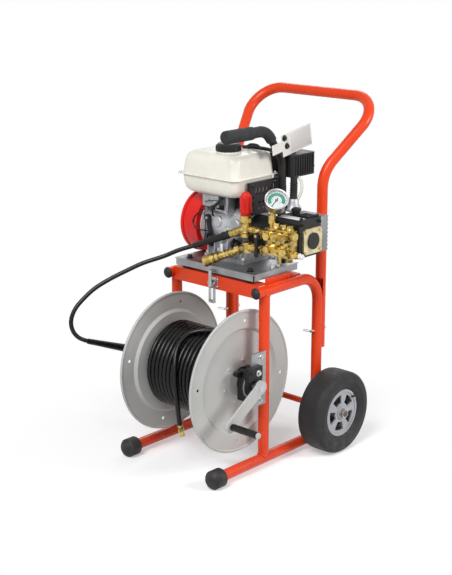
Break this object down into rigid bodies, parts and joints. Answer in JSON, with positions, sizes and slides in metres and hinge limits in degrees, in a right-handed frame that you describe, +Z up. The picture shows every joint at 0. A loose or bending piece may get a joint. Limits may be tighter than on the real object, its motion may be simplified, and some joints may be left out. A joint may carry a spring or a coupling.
{
  "type": "cart-mounted drain jetter",
  "caption": "Petrol drain jetter: lift-off engine and pump unit on a two-wheeled tube cart with a crank-wound hose reel.",
  "frame": {"origin": "on the floor, at the middle of the box round everything but the loose jumper hose", "axes": "+Z up, +Y towards the push handle, +X towards the crank side"},
  "size_m": [0.6134, 0.8127, 1.0703],
  "materials": {
    "frame_paint": "gloss orange-red enamel, scuffed at edges",
    "black_rubber": "matt moulded rubber",
    "tyre_rubber": "matt smooth-tread tyre",
    "bright_steel": "zinc-plated, satin",
    "reel_steel": "galvanised sheet, satin",
    "black_plastic": "moulded black plastic",
    "hose_cover": "matt black hose cover",
    "brass": "machined brass, lightly tarnished",
    "base_metal": "plated sheet, satin",
    "cast_alloy": "die-cast alloy, satin",
    "red_paint": "gloss red enamel",
    "cream_paint": "gloss cream enamel",
    "black_paint": "satin black enamel",
    "knob_red": "moulded red plastic",
    "cover_gold": "gold anodised alloy",
    "foam_grip": "closed-cell foam",
    "white_plate": "plain white sheet",
    "lens_glass": "clear window",
    "needle_black": "printed black"
  },
  "bodies": {
    "cart": {"side_tubes": "frame_paint", "front_posts": "frame_paint", "runners": "frame_paint", "end_caps": "black_rubber", "deck_bars": "frame_paint", "axle": "frame_paint", "push_handle": "frame_paint", "handle_pins": "bright_steel", "reel_brackets": "reel_steel", "reel_bearings": "black_plastic", "wheel_nuts": "bright_steel", "reel_swivel": "brass", "jumper_hose": "hose_cover", "jumper_fittings": "black_rubber", "base_plate": "base_metal", "base_isolators": "black_rubber", "latch_base": "bright_steel", "crankcase": "cast_alloy", "cylinder_head": "cast_alloy", "fan_housing": "red_paint", "recoil_cover": "red_paint", "fuel_tank": "cream_paint", "muffler": "black_paint", "air_cleaner": "black_plastic", "carburettor": "cast_alloy", "lift_bar": "black_paint", "lift_grip": "foam_grip", "tag_plate": "white_plate", "pump_body": "black_paint", "pump_end_cover": "cover_gold", "pump_rear_cover": "cast_alloy", "pump_manifold": "brass", "unloader_valve": "brass", "gauge_case": "bright_steel", "gauge_dial": "white_plate", "gauge_lens": "lens_glass", "inlet_fitting": "brass"},
    "left_wheel": {"left_tyre": "tyre_rubber", "left_rim": "bright_steel"},
    "right_wheel": {"right_tyre": "tyre_rubber", "right_rim": "bright_steel"},
    "reel": {"near_flange": "reel_steel", "far_flange": "reel_steel", "reel_drum": "reel_steel", "reel_shaft": "bright_steel", "wound_hose": "hose_cover", "hose_tail": "hose_cover", "hose_end_fitting": "brass", "crank_arm": "bright_steel"},
    "crank_handle": {"crank_grip": "black_plastic"},
    "reel_lock": {"reel_lock_lever": "black_plastic"},
    "latch_arm": {"latch_lever": "bright_steel"},
    "latch_hook": {"latch_strap": "bright_steel"},
    "pressure_knob": {"unloader_knob": "knob_red"},
    "needle": {"gauge_needle": "needle_black"},
    "pulse": {"pulse_lever": "black_plastic"},
    "cap": {"fuel_cap": "black_plastic"},
    "pull_handle": {"starter_grip": "black_plastic"},
    "throttle": {"throttle_lever": "black_plastic"},
    "hose_nut": {"inlet_nut": "brass"}
  },
  "joints": [
    {"name": "left_wheel_spin", "type": "hinge", "parent": "cart", "child": "left_wheel", "pos_m": [-0.25985, 0.14812, 0.127], "axis": [1, 0, 0], "continuous": true},
    {"name": "right_wheel_spin", "type": "hinge", "parent": "cart", "child": "right_wheel", "pos_m": [0.22915, 0.14812, 0.127], "axis": [1, 0, 0], "continuous": true},
    {"name": "reel_spin", "type": "hinge", "parent": "cart", "child": "reel", "pos_m": [-0.01535, -0.15988, 0.277], "axis": [1, 0, 0], "continuous": true},
    {"name": "crank_grip_spin", "type": "hinge", "parent": "reel", "child": "crank_handle", "pos_m": [0.25415, -0.28793, 0.19511], "axis": [1, 0, 0], "continuous": true},
    {"name": "reel_lock_swing", "type": "hinge", "parent": "cart", "child": "reel_lock", "pos_m": [0.14965, -0.17688, 0.315], "axis": [-1, 0, 0], "range_deg": [0, 75]},
    {"name": "latch_throw", "type": "hinge", "parent": "cart", "child": "latch_arm", "pos_m": [-0.01335, -0.12988, 0.54], "axis": [-1, 0, 0], "range_deg": [0, 90]},
    {"name": "latch_hook_turn", "type": "hinge", "parent": "latch_arm", "child": "latch_hook", "pos_m": [-0.01335, -0.13488, 0.534], "axis": [-1, 0, 0], "range_deg": [-90, 0]},
    {"name": "pressure_knob_turn", "type": "hinge", "parent": "cart", "child": "pressure_knob", "pos_m": [0.06965, -0.07688, 0.778], "axis": [0, 0, 1], "range_deg": [0, 720]},
    {"name": "needle_swing", "type": "hinge", "parent": "cart", "child": "needle", "pos_m": [0.16465, -0.05388, 0.8], "axis": [-0.4989, 0.5499, -0.6699], "range_deg": [0, 270]},
    {"name": "pulse_turn", "type": "hinge", "parent": "cart", "child": "pulse", "pos_m": [0.13265, -0.09888, 0.7], "axis": [0, 1, 0], "range_deg": [0, 90]},
    {"name": "fuel_cap_turn", "type": "hinge", "parent": "cart", "child": "cap", "pos_m": [-0.03535, -0.03488, 0.928], "axis": [0, 0, 1], "range_deg": [0, 90]},
    {"name": "starter_pull", "type": "slide", "parent": "cart", "child": "pull_handle", "axis": [-1, 0, 0], "range_m": [0, 0.5], "stiffness_N_per_m": 40},
    {"name": "throttle_swing", "type": "hinge", "parent": "cart", "child": "throttle", "pos_m": [-0.08735, -0.06888, 0.715], "axis": [0, -1, 0], "range_deg": [0, 40]},
    {"name": "hose_nut_spin", "type": "hinge", "parent": "cart", "child": "hose_nut", "pos_m": [-0.02079, -0.13216, 0.60959], "axis": [-0.8397, -0.3876, -0.3804], "continuous": true}
  ],
  "couplings": [
    {"joint": "latch_hook_turn", "follows": "latch_throw", "ratio": -1}
  ]
}
